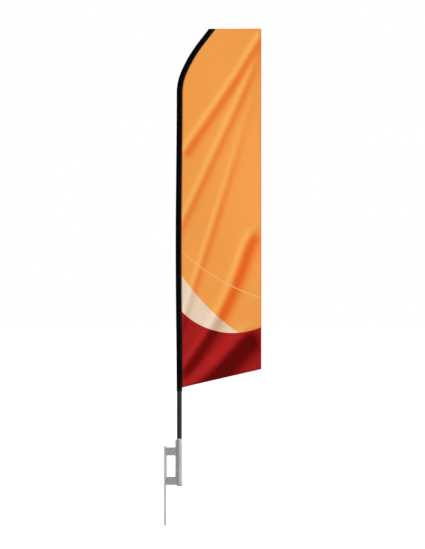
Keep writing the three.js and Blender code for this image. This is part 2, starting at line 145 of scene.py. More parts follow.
BILLOW_TURNS = 1.3
BILLOW_LEAD = 0.35  # how far the wave runs ahead at the free edge, in turns
LUFF_GATHERS = 0.0012, 0.022  # depth of the small gathers, and how far they reach over the cloth
FLY_GATHERS = 0.0009, 0.02
SEWN_FLAT = 0.006  # strip at the sleeve where the gathers begin


def fold_frame(fold, x, z):
    """Distance from a fold's furrow in metres, positive on its lower right, and the share along it,
    which goes above 1 where the furrow's last piece is carried on past its end."""
    control = np.array(fold["curve"]) / 1000
    t = np.linspace(0, 1, FOLD_TURNS + 1)[:, None]
    line = ((1 - t) ** 3 * control[0] + 3 * (1 - t) ** 2 * t * control[1]
            + 3 * (1 - t) * t**2 * control[2] + t**3 * control[3])
    best = np.full(x.shape, np.inf)
    share = np.zeros(x.shape)
    for i in range(FOLD_TURNS):
        (ax, az), (bx, bz) = line[i], line[i + 1]
        dx, dz = bx - ax, bz - az
        furthest = 1 if i < FOLD_TURNS - 1 else FOLD_TURNS
        along = np.clip(((x - ax) * dx + (z - az) * dz) / (dx * dx + dz * dz), 0, furthest)
        gap = np.hypot(x - ax - along * dx, z - az - along * dz)
        side = np.sign((z - az) * dx - (x - ax) * dz)
        nearer = gap < np.abs(best)
        best = np.where(nearer, gap * np.where(side == 0, 1, side), best)
        share = np.where(nearer, (i + along) / FOLD_TURNS, share)
    return best, share


def smooth(value, low, high):
    """A soft step from 0 at low to 1 at high."""
    t = np.clip((value - low) / (high - low), 0, 1)
    return t * t * (3 - 2 * t)


def ripple(z, seed):
    """Uneven small gathers along a seam, between -1 and 1."""
    rng = np.random.default_rng(seed)
    total = np.zeros_like(z)
    for wave in (0.021, 0.027, 0.034, 0.047):
        swell = 0.6 + 0.4 * np.sin(2 * math.pi * z / (9.7 * wave) + rng.uniform(0, 6.3))
        total += swell * np.sin(2 * math.pi * z / wave + rng.uniform(0, 6.3)) / 4
    return total


def cloth_shape(x, z, across):
    """How far the cloth stands back from the mast's plane, and its painted fold shading: 1 painted
    highlight, -1.5 deepest painted shade.
    """
    push = np.zeros_like(x)
    painted_fold_shading = np.zeros_like(x)
    for fold in FOLDS:
        distance, share = fold_frame(fold, x, z)
        past = np.maximum(share - 1, 0)
        shown = smooth(share, 0, fold["fade"]) * np.exp(-((past / END_FADE) ** 2))
        width = np.where(distance < 0, *fold["widths"]) / 1000
        push += shown * fold["depth"] / 1000 * np.exp(-((distance / width) ** 2))
        # painted highlight on the furrow's upper left, painted shade on its lower right
        for side, (out, wide, strength) in ((-1, fold["light"]), (1, fold["dark"])):
            lobe = np.exp(-(((side * distance * 1000 - out) / wide) ** 2))
            painted_fold_shading -= side * shown * strength * lobe
    share = (z - LUFF_BOTTOM) / FLAG_HEIGHT
    push += BILLOW * across * np.sin(2 * math.pi * (share * BILLOW_TURNS + across * BILLOW_LEAD))
    from_sleeve = across * FLAG_WIDTH
    push *= smooth(from_sleeve, 0, SEAM_FADE)
    depth, reach = LUFF_GATHERS
    push += depth * ripple(z, 1) * np.exp(-from_sleeve / reach) * smooth(from_sleeve, 0, SEWN_FLAT)
    depth, reach = FLY_GATHERS
    push += depth * ripple(z, 2) * np.exp(-(1 - across) * FLAG_WIDTH / reach)
    return push, np.clip(painted_fold_shading, -1.5, 1)


def cloth_point(across, up):
    """x, y and z of the cloth at shares across and up it, its painted fold shading, and the sleeve's
    painted shade over it.
    """
    ends = along_at_height(np.array([LUFF_BOTTOM, FLAG_TOP]), np.full(2, LUFF_OFFSET))
    luff_x, luff_z = beside_mast(ends[0] + (ends[1] - ends[0]) * up, LUFF_OFFSET)
    fly_z = FLY_BOTTOM + (FLAG_TOP - FLY_BOTTOM) * up
    x = luff_x + (FLY_X - luff_x) * across
    z = luff_z + (fly_z - luff_z) * across
    y, painted_fold_shading = cloth_shape(x, z, across)
    shade = np.exp(-((across * (FLY_X - LUFF_OFFSET) / SHADE) ** 2))
    return x, y, z, {"painted_fold_shading": painted_fold_shading, "shade": shade}


def on_both_sides(values):
    """The numbers for a grid of points, once for the front and once for the back."""
    return {key: np.tile(numbers.ravel(), 2) for key, numbers in values.items()}


# ---- Materials -------------------------------------------------------------------------------

class Nodes:
    """A material's node tree, built up by short calls that return sockets."""

    def __init__(self, name, **constants):
        self.material = bpy.data.materials.new(name)
        self.material.use_nodes = True
        self.tree = self.material.node_tree
        self.shader = self.tree.nodes["Principled BSDF"]
        for socket, value in constants.items():
            self.shader.inputs[socket.replace("_", " ")].default_value = value

    def add(self, kind, inputs=(), **settings):
        node = self.tree.nodes.new(kind)
        for key, value in settings.items():
            setattr(node, key, value)
        for key, value in dict(inputs).items():
            self.put(node.inputs[key], value)
        return node

    def put(self, socket, value):
        if isinstance(value, bpy.types.NodeSocket):
            self.tree.links.new(value, socket)
        elif isinstance(value, tuple) and len(value) == 3 and socket.type == "RGBA":
            socket.default_value = (*value, 1)
        else:
            socket.default_value = value

    def math(self, operation, a, b=0.0, clamp=False):
        return self.add("ShaderNodeMath", {0: a, 1: b}, operation=operation, use_clamp=clamp).outputs[0]

    def mix(self, share, a, b, blend="MIX"):
        node = self.add("ShaderNodeMix", {0: share, 6: a, 7: b}, data_type="RGBA", blend_type=blend)
        return node.outputs[2]

    def remap(self, value, low, high, to_low=0.0, to_high=1.0):
        inputs = {0: value, 1: low, 2: high, 3: to_low, 4: to_high}
        return self.add("ShaderNodeMapRange", inputs).outputs[0]

    def place(self, scale=(1, 1, 1)):
        where = self.add("ShaderNodeTexCoord").outputs["Object"]
        return self.add("ShaderNodeMapping", {"Vector": where, "Scale": scale}).outputs[0]

    def noise(self, scale, detail=4.0, roughness=0.55, stretch=(1, 1, 1)):
        return self.add("ShaderNodeTexNoise", {
            "Vector": self.place(stretch), "Scale": scale, "Detail": detail, "Roughness": roughness,
        }).outputs["Fac"]

    def ramp(self, value, *stops):
        node = self.add("ShaderNodeValToRGB", {0: value})
        while len(node.color_ramp.elements) < len(stops):
            node.color_ramp.elements.new(0.5)
        for element, (at, colour) in zip(node.color_ramp.elements, stops):
            element.position = at
            element.color = (*colour, 1)
        return node.outputs[0]

    def bump(self, height, distance, strength=1.0, under=None):
        inputs = {"Height": height, "Distance": distance, "Strength": strength}
        if under is not None:
            inputs["Normal"] = under
        return self.add("ShaderNodeBump", inputs).outputs[0]

    def finish(self, **links):
        for socket, value in links.items():
            self.put(self.shader.inputs[socket.replace("_", " ")], value)
        return self.material


def srgb(*values):
    """A colour from its 8-bit display values."""
    shares = [value / 255 for value in values]
    return tuple(s / 12.92 if s <= 0.04045 else ((s + 0.055) / 1.055) ** 2.4 for s in shares)


def weave(nodes, threads_m, distance, strength):
    """Bump of a plain weave or knit, of so many threads a metre."""
    coarse = nodes.place((threads_m, threads_m, threads_m))
    parts = nodes.add("ShaderNodeSeparateXYZ", {0: coarse})
    warp = nodes.math("SINE", nodes.math("MULTIPLY", parts.outputs[0], 2 * math.pi))
    weft = nodes.math("SINE", nodes.math("MULTIPLY", parts.outputs[2], 2 * math.pi))
    return nodes.bump(nodes.math("MULTIPLY", warp, weft), distance, strength)


# The print's areas, each bounded by a circle in the cloth's plane: (x, z), radius
PALE_LINE = (1.119, 2.978), 1.607
ORANGE_AREA = (1.409, 2.559), 1.677
ABOVE_RED = (0.411, 1.7275), 0.549
PALE_HALF_WIDTH = 0.004
INK_EDGE = 0.0012

# Each print colour four times: under the deepest painted shade of a fold, under painted shade, plain,
# and under a painted highlight.
ORANGE = [srgb(240, 97, 28), srgb(243, 121, 45), srgb(244, 159, 76), srgb(245, 178, 92)]
BEIGE = [srgb(209, 170, 134), srgb(223, 190, 159), srgb(236, 210, 185), srgb(242, 222, 203)]
RED = [srgb(97, 3, 2), srgb(125, 10, 9), srgb(166, 28, 27), srgb(186, 33, 33)]
PALE = srgb(236, 190, 128)
PAINTED_SHADING_STOPS = (0.0, 0.2, 0.6, 1.0)  # ramp positions for painted fold shading -1.5, -1, 0 and 1


def printed_cloth(name, depth):
    """Knitted polyester with the flag's print, lightened by painted highlight and deepened by painted
    shade along the folds. depth deepens the colours where plies are doubled.
    """
    nodes = Nodes(name, Sheen_Weight=0.03, Sheen_Roughness=0.4, IOR=1.45, Specular_IOR_Level=0.08)
    parts = nodes.add("ShaderNodeSeparateXYZ", {0: nodes.place()})
    x, z = parts.outputs[0], parts.outputs[2]
    patches = nodes.noise(2.5, 3)
    # painted highlight and shade of the folds, with a little random tone added below
    painted_fold_shading = nodes.add("ShaderNodeAttribute", attribute_name="painted_fold_shading").outputs["Fac"]
    shade = nodes.add("ShaderNodeAttribute", attribute_name="shade").outputs["Fac"]
    painted_fold_shading = nodes.math("ADD", painted_fold_shading, nodes.remap(patches, 0.3, 0.7, -0.05, 0.05))
    share = nodes.remap(painted_fold_shading, -1.5, 1.0)

    def outside(area):
        (cx, cz), radius = area
        dx, dz = nodes.math("SUBTRACT", x, cx), nodes.math("SUBTRACT", z, cz)
        squares = nodes.math("ADD", nodes.math("MULTIPLY", dx, dx), nodes.math("MULTIPLY", dz, dz))
        return nodes.math("SUBTRACT", nodes.math("SQRT", squares), radius)

    # the print colour, lightened and deepened by the folds' painted highlight and shade
    def ink_with_painted_shading(colours):
        return nodes.ramp(share, *zip(PAINTED_SHADING_STOPS, colours))

    in_beige = nodes.remap(outside(ORANGE_AREA), -INK_EDGE, INK_EDGE)
    in_red = nodes.math("MULTIPLY", nodes.remap(outside(ABOVE_RED), -INK_EDGE, INK_EDGE),
                        nodes.math("LESS_THAN", z, ABOVE_RED[0][1]))
    off_line = nodes.math("ABSOLUTE", outside(PALE_LINE))
    on_line = nodes.remap(off_line, PALE_HALF_WIDTH - INK_EDGE, PALE_HALF_WIDTH + INK_EDGE, 0.85, 0.0)
    colour = nodes.mix(on_line, ink_with_painted_shading(ORANGE), PALE)
    colour = nodes.mix(in_beige, colour, ink_with_painted_shading(BEIGE))
    colour = nodes.mix(in_red, colour, ink_with_painted_shading(RED))
    colour = nodes.mix(depth, colour, colour, "MULTIPLY")
    colour = nodes.mix(shade, colour, (0.004, 0.003, 0.003))
    fine = nodes.noise(900, 2)
    colour = nodes.mix(nodes.remap(fine, 0.3, 0.7, 0.0, 0.06), colour, (0.02, 0.015, 0.01))
    knit = weave(nodes, 800, 0.0001, 0.35)
    crease = nodes.bump(nodes.noise(38, 5, 0.6), 0.0012, 0.35, knit)
    return nodes.finish(Base_Color=colour, Normal=crease,
                        Roughness=nodes.remap(nodes.noise(60, 3), 0.3, 0.7, 0.62, 0.74))


def black_cloth(name, threads_m, lift):
    """Black woven polyester: sleeve and webbing."""
    nodes = Nodes(name, Sheen_Weight=0.02, Sheen_Roughness=0.5, IOR=1.4, Specular_IOR_Level=0.08)
    worn = nodes.remap(nodes.noise(14, 5), 0.35, 0.75)
    colour = nodes.mix(worn, tuple(0.6 * c for c in lift), lift)
    cloth = weave(nodes, threads_m, 0.0003, 0.5)
    return nodes.finish(Base_Color=colour, Normal=nodes.bump(nodes.noise(60, 4), 0.0008, 0.3, cloth),
                        Roughness=nodes.remap(nodes.noise(80), 0.3, 0.7, 0.7, 0.85))


def zinc(name, colour, roughness, drawn=(1, 1, 1), metallic=0.8):
    """Galvanised steel: faint spangle, streaks along the bar, dull marks."""
    nodes = Nodes(name, Metallic=metallic, IOR=2.2)
    cells = nodes.add("ShaderNodeTexVoronoi", {"Vector": nodes.place(drawn), "Scale": 160.0},
                      feature="F1").outputs["Color"]
    value = nodes.add("ShaderNodeSeparateColor", {0: cells}).outputs[0]
    base = nodes.mix(nodes.remap(value, 0, 1, 0.0, 0.6), colour, tuple(0.86 * c for c in colour))
    marks = nodes.remap(nodes.noise(22, 6, 0.62), 0.5, 0.72)
    base = nodes.mix(nodes.math("MULTIPLY", marks, 0.35), base, tuple(0.72 * c for c in colour))
    streaks = nodes.noise(240, 3, 0.6, drawn)
    rough = nodes.math("ADD", nodes.remap(value, 0, 1, roughness - 0.05, roughness + 0.05),
                       nodes.remap(marks, 0, 1, 0.0, 0.12))
    grain = nodes.bump(streaks, 0.0002, 0.3, nodes.bump(nodes.noise(35, 3), 0.0006, 0.25))
    return nodes.finish(Base_Color=base, Roughness=rough, Normal=grain)


def weld_metal():
    """Dull weld metal, darker where the heat has tinted it."""
    nodes = Nodes("weld_metal", Metallic=0.75, IOR=2.2)
    heat = nodes.remap(nodes.noise(180, 4), 0.35, 0.7)
    colour = nodes.mix(heat, srgb(176, 176, 175), srgb(150, 147, 143))
    return nodes.finish(Base_Color=colour, Roughness=nodes.remap(heat, 0, 1, 0.4, 0.6),
                        Normal=nodes.bump(nodes.noise(500, 3), 0.0003, 0.5))


def moulded(name, colour, roughness):
    """Moulded nylon with a fine spark-eroded grain and light scuffs."""
    nodes = Nodes(name, IOR=1.5)
    scuffs = nodes.remap(nodes.noise(45, 6, 0.65, (1, 1, 0.3)), 0.56, 0.74)
    lighter = tuple(min(1.0, c + 0.05) for c in colour)
    return nodes.finish(
        Base_Color=nodes.mix(nodes.math("MULTIPLY", scuffs, 0.5), colour, lighter),
        Roughness=nodes.remap(scuffs, 0, 1, roughness, roughness + 0.15),
        Normal=nodes.bump(nodes.noise(1400, 2), 0.0001, 0.4))


def anodised():
    """Black anodised tube: die lines along it and rub marks where the sections slide."""
    nodes = Nodes("black_anodised", IOR=1.5, Specular_IOR_Level=0.8)
    lines = nodes.noise(420, 3, 0.5, (1, 1, 0.01))
    rubs = nodes.remap(nodes.noise(30, 5, 0.6, (1, 1, 0.25)), 0.58, 0.75)
    colour = nodes.mix(nodes.math("MULTIPLY", rubs, 0.4), srgb(9, 9, 10), srgb(26, 26, 26))
    return nodes.finish(Base_Color=colour, Normal=nodes.bump(lines, 0.0001, 0.35),
                        Roughness=nodes.remap(lines, 0.3, 0.7, 0.3, 0.42))


def glass_fibre():
    """Black pultruded rod with its strands along it."""
    nodes = Nodes("glass_fibre", IOR=1.55, Coat_Weight=0.3, Coat_Roughness=0.2)
    strands = nodes.noise(700, 3, 0.6, (1, 1, 0.02))
    return nodes.finish(Base_Color=nodes.mix(strands, srgb(20, 20, 19), srgb(40, 40, 37)),
                        Roughness=nodes.remap(strands, 0.3, 0.7, 0.35, 0.5),
                        Normal=nodes.bump(strands, 0.0001, 0.4))


def thread(name, colour):
    """Twisted polyester sewing thread."""
    nodes = Nodes(name, Sheen_Weight=0.2, IOR=1.45)
    twist = nodes.noise(3000, 1)
    return nodes.finish(Base_Color=nodes.mix(twist, tuple(0.75 * c for c in colour), colour),
                        Roughness=nodes.remap(twist, 0.3, 0.7, 0.5, 0.65))


DRAWN = (1, 1, 0.06)  # stretch of a pattern that runs along a bar
cloth_print = printed_cloth("cloth_print", 0.0)
hem_print = printed_cloth("hem_print", 0.22)
sleeve_cloth = black_cloth("sleeve_cloth", 900, srgb(5, 5, 5))
strap_cloth = black_cloth("strap_cloth", 420, srgb(24, 24, 25))
bar_zinc = zinc("bar_zinc", srgb(228, 230, 232), 0.5, DRAWN, 0.7)
backing_zinc = zinc("backing_zinc", srgb(236, 240, 244), 0.5, DRAWN, 0.6)
sheet_zinc = zinc("sheet_zinc", srgb(190, 193, 198), 0.5, metallic=0.7)
spine_zinc = zinc("spine_zinc", srgb(226, 223, 217), 0.5, DRAWN, 0.7)
tube_zinc = zinc("tube_zinc", srgb(224, 229, 232), 0.42, DRAWN, 0.88)
weld = weld_metal()
grey_nylon = moulded("grey_nylon", srgb(186, 192, 194), 0.5)
plug_nylon = moulded("plug_nylon", srgb(150, 153, 155), 0.5)
black_nylon = moulded("black_nylon", srgb(26, 26, 27), 0.5)
mast_black = anodised()
rod_black = glass_fibre()
black_thread = thread("black_thread", srgb(38, 38, 39))


# ---- Making pieces ---------------------------------------------------------------------------

def piece(name, points, faces, material, body, node=None, values=None):
    """A mesh piece that rides on a body, and stands for a CAD node if one is named. values holds
    numbers for each point, by name, that its material uses."""
    mesh = bpy.data.meshes.new(name)
    mesh.from_pydata(np.asarray(points).reshape(-1, 3).tolist(), [], faces)
    mesh.validate()
    mesh.polygons.foreach_set("use_smooth", [True] * len(mesh.polygons))
    for key, numbers in (values or {}).items():
        attribute = mesh.attributes.new(key, "FLOAT", "POINT")
        attribute.data.foreach_set("value", np.asarray(numbers, np.float32).ravel())
    mesh.materials.append(material)
    made = bpy.data.objects.new(name, mesh)
    bpy.context.scene.collection.objects.link(made)
    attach(made, body)
    if node:
        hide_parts(node)
    return made


def add_modifier(obj, kind, **settings):
    modifier = obj.modifiers.new(kind.lower(), kind)
    for key, value in settings.items():
        setattr(modifier, key, value)


def grid_faces(rows, columns, start=0, flip=False, wrap=False):
    """Quads over a grid of points, row by row. A wrapped grid joins its last column to its first."""
    faces = []
    for row in range(rows - 1):
        for column in range(columns if wrap else columns - 1):
            beside = (column + 1) % columns
            a, b = start + row * columns + column, start + row * columns + beside
            quad = (a, b, b + columns, a + columns)
            faces.append(quad[::-1] if flip else quad)
    return faces


def sheet_faces(rows, columns):
    """Faces of a closed sheet: a grid of points, the same grid behind it, and the rim between them."""
    count = rows * columns
    faces = grid_faces(rows, columns) + grid_faces(rows, columns, count, flip=True)
    rim = [row * columns for row in range(rows)][::-1]
    rim += list(range(1, columns))
    rim += [row * columns + columns - 1 for row in range(1, rows)]
    rim += [count - columns + column for column in range(columns - 2, 0, -1)]
    for p, q in zip(rim, rim[1:] + rim[:1]):
        faces.append((q, p, p + count, q + count))
    return faces


def two_sided(x, y, z, thickness):
    """Points and faces of a closed sheet about a grid of points, thick from front to back."""
    sides = [np.stack([x, y + side * thickness / 2, z], -1).reshape(-1, 3) for side in (-1, 1)]
    return np.concatenate(sides), sheet_faces(*x.shape)


def on_mast(points):
    """Bends points that are straight about the Z axis onto the mast's centreline."""
    x, z = beside_mast(points[:, 2], points[:, 0])
    return np.stack([x, points[:, 1], z], -1)


def turned(name, node, profile, material, body, slot, bend=False, sides=72):
    """A piece turned from a profile of (radius, z), either closed on itself or ending on the axis."""
    closed = profile[0][0] > 0
    ring = profile if closed else profile[1:-1]
    around = np.linspace(0, 2 * math.pi, sides, endpoint=False)
    points = [(r * math.cos(a), r * math.sin(a), z) for r, z in ring for a in around]
    faces = grid_faces(len(ring), sides, wrap=True)
    last = (len(ring) - 1) * sides
    if closed:
        faces += [(last + i, last + (i + 1) % sides, (i + 1) % sides, i) for i in range(sides)]
    else:
        points += [(0, 0, profile[0][1]), (0, 0, profile[-1][1])]
        bottom, top = len(ring) * sides, len(ring) * sides + 1
        faces += [(bottom, (i + 1) % sides, i) for i in range(sides)]
        faces += [(top, last + i, last + (i + 1) % sides) for i in range(sides)]
    points = np.array(points)
    return piece(name, on_mast(points) if bend else points, faces, material, body, node)


def rounded(profile, radius, steps=3):
    """A profile with its convex and concave corners rounded, except at points on the axis."""
    count = len(profile)
    closed = profile[0][0] > 0
    out = []
    for i, corner in enumerate(profile):
        if corner[0] == 0 or (not closed and i in (0, count - 1)):
            out.append(corner)
            continue
        before, here, after = (np.array(profile[j % count], float) for j in (i - 1, i, i + 1))
        arms = [before - here, after - here]
        lengths = [np.linalg.norm(arm) for arm in arms]
        cut = [min(radius, 0.45 * length) for length in lengths]
        first, last = (here + arm / length * c for arm, length, c in zip(arms, lengths, cut))
        for step in range(steps + 1):
            t = step / steps
            out.append(tuple((1 - t) ** 2 * first + 2 * t * (1 - t) * here + t**2 * last))
    return out


# ---- Flag cloth, hems and stitches -----------------------------------------------------------

def spread(start, end, count, finer=0.0):
    """Shares from start to end, closer together near both ends by as much as finer says."""
    t = np.linspace(0, 1, count)
    return start + (end - start) * (t - finer * np.sin(2 * math.pi * t) / (2 * math.pi))


def flag_cloth():
    """The printed sheet itself."""
    across, up = np.meshgrid(spread(0, 1, 120, 0.75), spread(0, 1, 430))
    x, y, z, values = cloth_point(across, up)
    points, faces = two_sided(x, y, z, CLOTH)
    return piece("flag_cloth", points, faces, cloth_print, UPPER, "flag_panel",
                 on_both_sides(values))


HEM = 0.0095
HEM_PLIES = 0.0016, 0.0019  # thickness of the free edge's hem, and of the other two
HEM_OVER = 0.0006  # how far a hem stands past the cloth's edge


def hem(name, across, up, thickness):
    """A folded edge, as a strip over the cloth's own edge. across and up are grids of shares."""
    x, y, z, values = cloth_point(across, up)
    # the hems carry half of the folds' painted highlight and shade
    values["painted_fold_shading"] *= 0.5
    points, faces = two_sided(x, y, z, thickness)
    return piece(name, points, faces, hem_print, UPPER, values=on_both_sides(values))


def rounded_strip(count):
    """Shares across a hem, and its thickness there as a share, thin at the fold and the turned edge."""
    t = np.linspace(0, 1, count)
    return t, np.clip(np.minimum(0.35 + 5.5 * t, 0.55 + 4 * (1 - t)), 0, 1)


def hems():
    """The hems of the free edge, the top and the foot."""
    t, swell = rounded_strip(8)
    wide, tall = HEM / FLAG_WIDTH, HEM / FLAG_HEIGHT
    over_side, over_end = HEM_OVER / FLAG_WIDTH, HEM_OVER / FLAG_HEIGHT
    side_ply, end_ply = HEM_PLIES
    made = []
    along, inward = np.meshgrid(spread(0, 1, 640), t, indexing="ij")
    made.append(hem("fly_hem", 1 + over_side - inward[:, ::-1] * wide, along,
                    side_ply * swell[::-1] + 0 * along))
    inward, along = np.meshgrid(t, spread(0, 1, 200), indexing="ij")
    made.append(hem("top_hem", along, 1 + over_end - inward[::-1] * tall,
                    end_ply * swell[::-1, None] + 0 * along))
    made.append(hem("bottom_hem", along, inward * tall - over_end,
                    end_ply * swell[:, None] + 0 * along))
    return made


STITCH = 0.0042  # from one stitch to the next
STITCH_SHARE = 0.42  # half of a stitch's length, as a share of that
THREAD = 0.00045, 0.00035  # half of its width and of its height


def stitches(name, x, y, z, material, body, offset):
    """A row of lockstitches on the front and the back of cloth, along a line of points in its middle.
    offset is how far they lie in front of it and behind it."""
    line = np.stack([x, y, z], -1)
    gone = np.r_[0, np.cumsum(np.linalg.norm(np.diff(line, axis=0), axis=1))]
    count = int(gone[-1] / STITCH)
    shape = np.array([(-1, 0, 0), (-0.6, 1, 0), (-0.6, 0, 1), (-0.6, -1, 0), (-0.6, 0, -1),
                      (0.6, 1, 0), (0.6, 0, 1), (0.6, -1, 0), (0.6, 0, -1), (1, 0, 0)], float)
    caps = [(0, 2, 1), (0, 3, 2), (0, 4, 3), (0, 1, 4), (9, 5, 6), (9, 6, 7), (9, 7, 8), (9, 8, 5)]
    sides = [(1, 2, 6, 5), (2, 3, 7, 6), (3, 4, 8, 7), (4, 1, 5, 8)]
    starts = np.arange(count) * STITCH + STITCH / 2
    middle = np.stack([np.interp(starts, gone, line[:, i]) for i in range(3)], -1)
    offset = np.interp(starts, gone, offset + 0 * gone)[:, None]
    ahead = np.stack([np.interp(starts + STITCH / 2, gone, line[:, i]) for i in range(3)], -1)
    along = ahead - middle
    along /= np.linalg.norm(along, axis=1)[:, None]
    out = np.array([0, 1.0, 0]) - along * along[:, 1:2]
    out /= np.linalg.norm(out, axis=1)[:, None]
    side = np.cross(along, out)
    points, faces = [], []
    for face in (-1, 1):
        at = middle + face * offset * out
        for i in range(count):
            base = len(points) * 10
            points.append(at[i] + shape[:, :1] * STITCH_SHARE * STITCH * along[i]
                          + shape[:, 1:2] * THREAD[0] * side[i] + shape[:, 2:] * THREAD[1] * out[i])
            faces += [tuple(base + v for v in face_points) for face_points in caps + sides]
    return piece(name, np.concatenate(points), faces, material, body)


def flag_stitches():
    """A row of stitches along each hem."""
    inset = 0.0075
    first_share = 0.004  # of the flag's width, where the rows begin
    surface = HEM_PLIES[1] / 2
    in_x, in_z = inset / FLAG_WIDTH, inset / FLAG_HEIGHT
    made = []
    for name, across, up in (
        ("fly_stitches", np.full(700, 1 - in_x), spread(in_z, 1 - in_z, 700)),
        ("top_stitches", spread(first_share, 1 - in_x, 200), np.full(200, 1 - in_z)),
        ("bottom_stitches", spread(first_share, 1 - in_x, 200), np.full(200, in_z)),
    ):
        x, y, z, _ = cloth_point(across, up)
        made.append(stitches(name, x, y, z, hem_print, UPPER, surface))
    return made


# ---- Pole sleeve -----------------------------------------------------------------------------

SLEEVE_AROUND = 64
SLEEVE_ROWS = 420
SLEEVE_SLACK = 0.0019  # from a tube to the sleeve's outside
SLEEVE_TAPER = 0.16  # length over which the sleeve goes from one depth to the next
OVER_COLLAR = 0.01
ROD_DEPTH = 0.40  # the sleeve's depth over the rod, as a share of its width
CLOSING = 0.04, 0.13  # distances along the mast, past the flag's height, that flatten the upper end
CLOSED_SHARE = 0.72
PINCH, PINCH_ANGLE = 0.6, 0.4  # how far the seam draws the walls together, and over what angle
WRINKLE = 0.0004  # height of the wrinkles all along, and of those that the shoulder adds
SHOULDER_WRINKLE = 0.0006


def sleeve_depth(s):
    """How deep the sleeve is, as a share of its width: round over the tubes, flat over the rod."""
    levels = []
    for tube in ("middle_mast_tube", "upper_mast_tube"):
        (_, front, _), (_, back, _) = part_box(tube)
        levels.append(((back - front) / 2 + SLEEVE_SLACK) / SLEEVE_R)
    starts = [span("lower_stop_collar")[1] + OVER_COLLAR, span("upper_stop_collar")[1] + OVER_COLLAR,
              span("tip_ferrule")[1]]
    depth = np.ones_like(s)
    before = 1.0
    for start, level in zip(starts, levels + [ROD_DEPTH]):
        depth += (level - before) * smooth(s, start, start + SLEEVE_TAPER)
        before = level
    return depth


def sleeve_ring(angle, s, inset):
    """Points of the sleeve at angles round it, 0 towards the flag, and distances along the mast."""
    near_top = smooth(s, FLAG_TOP + CLOSING[0], FLAG_TOP + CLOSING[1])
    depth = sleeve_depth(s) * (1 - CLOSED_SHARE * near_top)
    pinch = 1 - PINCH * np.exp(-((angle / PINCH_ANGLE) ** 2))
    wrinkle = WRINKLE * (1 + ripple(s + 0.004 * np.sin(3 * angle), 5)) * np.sin(angle) ** 2
    crush = smooth(s, SHOULDER_START - 0.05, SHOULDER_START + 0.05)
    beside_seam = np.exp(-((np.abs(angle) - 0.9) / 0.6) ** 2)
    wrinkle += SHOULDER_WRINKLE * crush * (1 + ripple(s * 0.7, 6)) * beside_seam
    radius = SLEEVE_R - inset
    x = radius * np.cos(angle)
    y = (radius * depth * pinch + wrinkle) * np.sin(angle)
    return x, y


def sleeve_points(angle, share, inset, end_height):
    """Grid points of one wall of the sleeve, which ends level at a height."""
    x, _ = sleeve_ring(angle, np.full_like(angle, LUFF_BOTTOM), inset)
    top = along_at_height(np.full_like(angle, end_height), x)
    settle = smooth(share, 0.9, 1.0)
    straight = along_at_height(np.array([end_height]), np.zeros(1))[0]
    s = LUFF_BOTTOM + share * (straight - LUFF_BOTTOM) + settle * (top - straight)
    x, y = sleeve_ring(angle, s, inset)
    px, pz = beside_mast(s, x)
    return np.stack([px, y, np.minimum(pz, end_height)], -1)


def pole_sleeve():
    """The sleeve's outside and inside, joined at both ends. The upper end is pressed nearly flat."""
    around = np.linspace(-math.pi, math.pi, SLEEVE_AROUND, endpoint=False)
    share, angle = np.meshgrid(np.linspace(0, 1, SLEEVE_ROWS), around, indexing="ij")
    outer = sleeve_points(angle, share, 0.0, FLAG_TOP)
    inner = sleeve_points(angle, share, SLEEVE_WALL, FLAG_TOP - SLEEVE_WALL)
    count = SLEEVE_ROWS * SLEEVE_AROUND
    faces = grid_faces(SLEEVE_ROWS, SLEEVE_AROUND, wrap=True)
    faces += grid_faces(SLEEVE_ROWS, SLEEVE_AROUND, count, flip=True, wrap=True)
    last = count - SLEEVE_AROUND
    for i in range(SLEEVE_AROUND):
        j = (i + 1) % SLEEVE_AROUND
        faces.append((j, i, count + i, count + j))
        faces.append((last + i, last + j, count + last + j, count + last + i))
    points = np.concatenate([outer.reshape(-1, 3), inner.reshape(-1, 3)])
    return piece("sleeve_cloth_tube", points, faces, sleeve_cloth, UPPER, "pole_sleeve")


def sleeve_seams():
    """Two rows of stitches along the sleeve, beside the edge where the flag is sewn in."""
    made = []
    for name, angle in (("sleeve_seam", 0.62), ("sleeve_second_seam", 0.9)):
        s = np.linspace(LUFF_BOTTOM + 0.004, FLAG_TOP + 0.08, 800)
        out, depth = sleeve_ring(np.full_like(s, angle), s, 0.0)
        x, z = beside_mast(s, out)
        keep = z < FLAG_TOP - 0.006
        made.append(stitches(name, x[keep], 0 * x[keep], z[keep], black_thread, UPPER,
                             depth[keep]))
    return made


# ---- Strap -----------------------------------------------------------------------------------

def cinch_strap():
    """Hook-and-loop strap round the mast under the sleeve, lapped over itself behind."""
    margin = 0.0001
    low, high = span("cinch_strap")
    low, high = low + margin, high - margin
    wall = 0.0014
    inner = MAST_R + 0.001
    turns = np.linspace(0.30 * math.pi, 2.72 * math.pi, 150)
    lift = (wall - margin) * smooth(turns, 2.16 * math.pi, 2.34 * math.pi)
    height = np.array([0, 0.02, 0.06, 0.12, 0.3, 0.5, 0.7, 0.88, 0.94, 0.98, 1])
    round_edge = np.array([0.35, 0.75, 0.95, 1, 1, 1, 1, 1, 0.95, 0.75, 0.35])
    sides = []
    for side in (1, -1):
        radius = inner + wall / 2 + lift[:, None] + side * wall / 2 * round_edge[None, :]
        z = low + (high - low) * height[None, :] + 0 * turns[:, None]
        x, y = radius * np.cos(turns)[:, None], radius * np.sin(turns)[:, None]
        sides.append(np.stack([x, y, z], -1).reshape(-1, 3))
    return piece("hook_and_loop_strap", on_mast(np.concatenate(sides)),
                 sheet_faces(len(turns), len(height)), strap_cloth, UPPER, "cinch_strap")


# ---- Turned pieces of the stake and the mast --------------------------------------------------

def stations(low, high, step=0.03):
    """Levels from low to high, about a step apart."""
    return np.linspace(low, high, max(2, int((high - low) / step) + 1))


def tube_profile(inner, outer, low, high, lip):
    """Section of a tube whose ends are eased over a lip."""
    up = [(outer, z) for z in stations(low + lip, high - lip)]
    down = [(inner, z) for z in stations(low + lip, high - lip)][::-1]
    third = lip / 3
    return ([(inner + third, low), (outer - third, low)] + up
            + [(outer - third, high), (inner + third, high)] + down)


